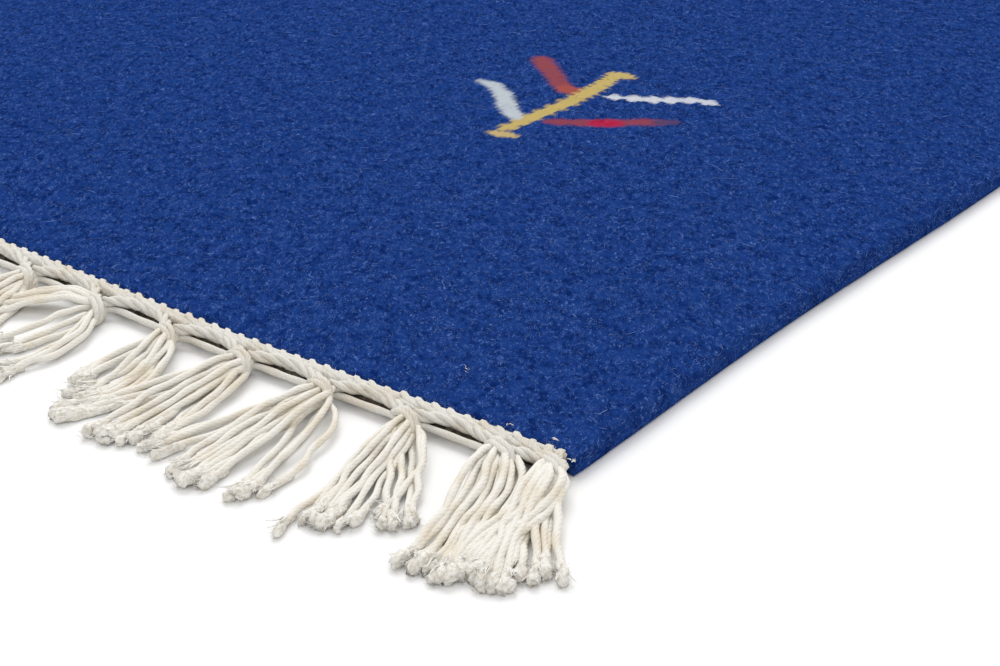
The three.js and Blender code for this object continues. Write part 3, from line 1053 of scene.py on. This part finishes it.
# Bundles that swing from one knot up to the band and down to the next, and the single yarn between.
# Each route's rows say what they are measured from, then across, out and height
bundle = {
    "yarns": 3,
    "coil": 0.74,
    "pitch": 12.0,
    "radius": 0.72,
    "shortGap": 15,
    "up": [("leftKnot", 0.3, -1.2, 4.0), ("left", 3.2, 4.6, 3.9), ("left", 7.0, 3.0, 3.7),
           ("middle", 0, 2.3, 3.6), ("middle", 5, 2.1, 3.4)],
    "down": [("middle", -3, 2.2, 3.0), ("middle", 1, 2.6, 3.3), ("right", -6.5, 3.8, 3.5),
             ("rightKnot", -3, -2.0, 3.6), ("rightKnot", 0, -0.4, 3.6)],
    "bridge": [("leftKnot", 0.5, 0.2, 2.0), ("left", 3, 6.0, 2.2), ("middle", 0, 5.7, 2.0),
               ("right", -5, 5.9, 2.1), ("rightKnot", -1, 0.2, 2.2)],
    "across": [("leftKnot", 1, -0.4, 3.5), ("leftKnot", 3.5, -1.2, 3.8), ("rightKnot", -2.5, 0.3, 3.7),
               ("rightKnot", 1, 0.4, 3.4)],
}


def coiledBundle(end, points, rng):
    spine = smoothRoute(points, yarn["step"])
    run = distances(spine)
    heading = unit(np.gradient(spine, axis=0))
    aside = unit(np.cross(heading, [0, 0, 1]))
    over = np.cross(aside, heading)
    routes, start = [], rng.random() * 2 * math.pi
    for i in range(bundle["yarns"]):
        angle = start + 2 * math.pi * (i / bundle["yarns"] + run / bundle["pitch"])
        offset = aside * np.cos(angle)[:, None] + over * np.sin(angle)[:, None]
        routes.append(yarnRoute(end, spine + offset * bundle["coil"], rng, bundle["radius"]))
    return routes


def betweenKnots(rows, left, right):
    middle = left[0] + (right[0] - left[0]) * 0.5
    anchors = {"leftKnot": left, "rightKnot": right, "left": (left[0], 0), "right": (right[0], 0),
               "middle": (middle, 0)}
    return [(anchors[anchor][0] + across, anchors[anchor][1] + out, height)
            for anchor, across, out, height in rows]


def swingRoutes(end, rng):
    crests, routes = knotCrests(), []
    for left, right in zip(crests[1:], crests[:-1]):
        if right[0] - left[0] > bundle["shortGap"]:
            routes += coiledBundle(end, betweenKnots(bundle["up"], left, right), rng)
            routes += coiledBundle(end, betweenKnots(bundle["down"], left, right), rng)
            routes.append(yarnRoute(end, betweenKnots(bundle["bridge"], left, right), rng))
        else:
            routes += coiledBundle(end, betweenKnots(bundle["across"], left, right), rng)
    return routes


# The knots: two yarns that cross from the band over the neck of each tassel and go down on its far side
knot = {
    "pitch": 1.35,
    "drop": 0.1,
    "stray": 0.12,
    "route": [(-4.9, -2.0, 3.4), (-2.6, -0.7, 4.7), (0.0, 0.0, 5.15), (2.2, 1.0, 4.9), (3.6, 2.2, 3.6),
              (3.7, 3.0, 1.9), (2.6, 3.4, 0.9)],  # across, out and height from the crest
}


def knotRoutes(end, rng):
    routes = []
    for crest in knotCrests():
        for i in (0, 1):
            offset = np.array([0, i * knot["pitch"], -knot["drop"] * i])
            points = np.array(knot["route"]) + np.array([*crest, 0]) + offset
            points[1:-1] += rng.normal(size=(len(points) - 2, 3)) * knot["stray"]
            routes.append(yarnRoute(end, points, rng))
    return routes


for end in ends:
    rng = np.random.default_rng(ends[end]["seeds"][1])
    bandMesh = sweepMesh(yarn["sides"], bandRoutes(end, rng))
    knotMesh = sweepMesh(yarn["sides"], swingRoutes(end, rng) + knotRoutes(end, rng))
    tasselMesh, tipMesh, strandMesh, tuftMesh = buildTassels(end)
    for name, mesh, material, replaced in (
            ("band", bandMesh, bandCotton, ["fringe_" + end]),
            ("knots", knotMesh, bandCotton, []),
            ("tassels", tasselMesh, creamCotton, []),
            ("tips", tipMesh, cottonFray, []),
            ("strands", strandMesh, cottonHair, []),
            ("tufts", tuftMesh, cottonHair, []),
            ("fuzz", bandFuzz(end, rng), cottonHair, []),
            # the dark rows under the band: painted shade
            ("painted_shade_rows", paintedShadeRows(end), paintedShadeCotton, [])):
        finishPiece(f"cotton_{name}_{end}", mesh, material, replaced)
print("rug made")

# The photograph's camera, in millimetres from the rug's middle
camera = {"place": (497.4, -728.8, 199.8), "down": 26.13, "turn": 37.8, "lens": 70.19}
lens = bpy.data.cameras.new("camera")
lens.lens = camera["lens"]
lens.sensor_width = 36
lens.sensor_fit = "HORIZONTAL"
lens.clip_start = 0.01
viewer = addObject("camera", lens)
viewer.location = Vector(camera["place"]) * mm
viewer.rotation_euler = (math.radians(90 - camera["down"]), 0, math.radians(camera["turn"]))
scene.camera = viewer

# A plain white floor and soft studio light, in metres
studio = {
    "floorReach": 6,
    "floorDrop": 0.05 * mm,  # so that it doesn't coincide with the rug's underside
    "floorColour": (0.9, 0.9, 0.9, 1),
    "sky": 0.85,
    "aim": (0.25, -0.4, 0),
    "lights": {
        "back": {"place": (-0.6, 0.5, 1.5), "size": 1.2, "power": 18},
        "front": {"place": (0.9, -1.5, 1.4), "size": 1.2, "power": 3},
    },
}
bm = bmesh.new()
bmesh.ops.create_grid(bm, x_segments=1, y_segments=1, size=studio["floorReach"])
floor = addObject("floor", meshFrom(bm, "floor"))
floor.location.z = -studio["floorDrop"]
floorMaterial, _, floorShader = newMaterial("paleFloor", 0.9, 0.1)
floorShader.inputs["Base Color"].default_value = studio["floorColour"]
floor.data.materials.append(floorMaterial)

world = bpy.data.worlds.new("studio")
world.use_nodes = True
background = world.node_tree.nodes["Background"].inputs
background["Color"].default_value = (1, 1, 1, 1)
background["Strength"].default_value = studio["sky"]
scene.world = world

for name, values in studio["lights"].items():
    light = bpy.data.lights.new(name, "AREA")
    light.size = values["size"]
    light.energy = values["power"]
    lamp = addObject(name, light)
    lamp.location = values["place"]
    aim = Vector(studio["aim"]) - lamp.location
    lamp.rotation_euler = aim.to_track_quat("-Z", "Y").to_euler()
scene.view_settings.view_transform = "Standard"
print("camera, floor and lights placed")
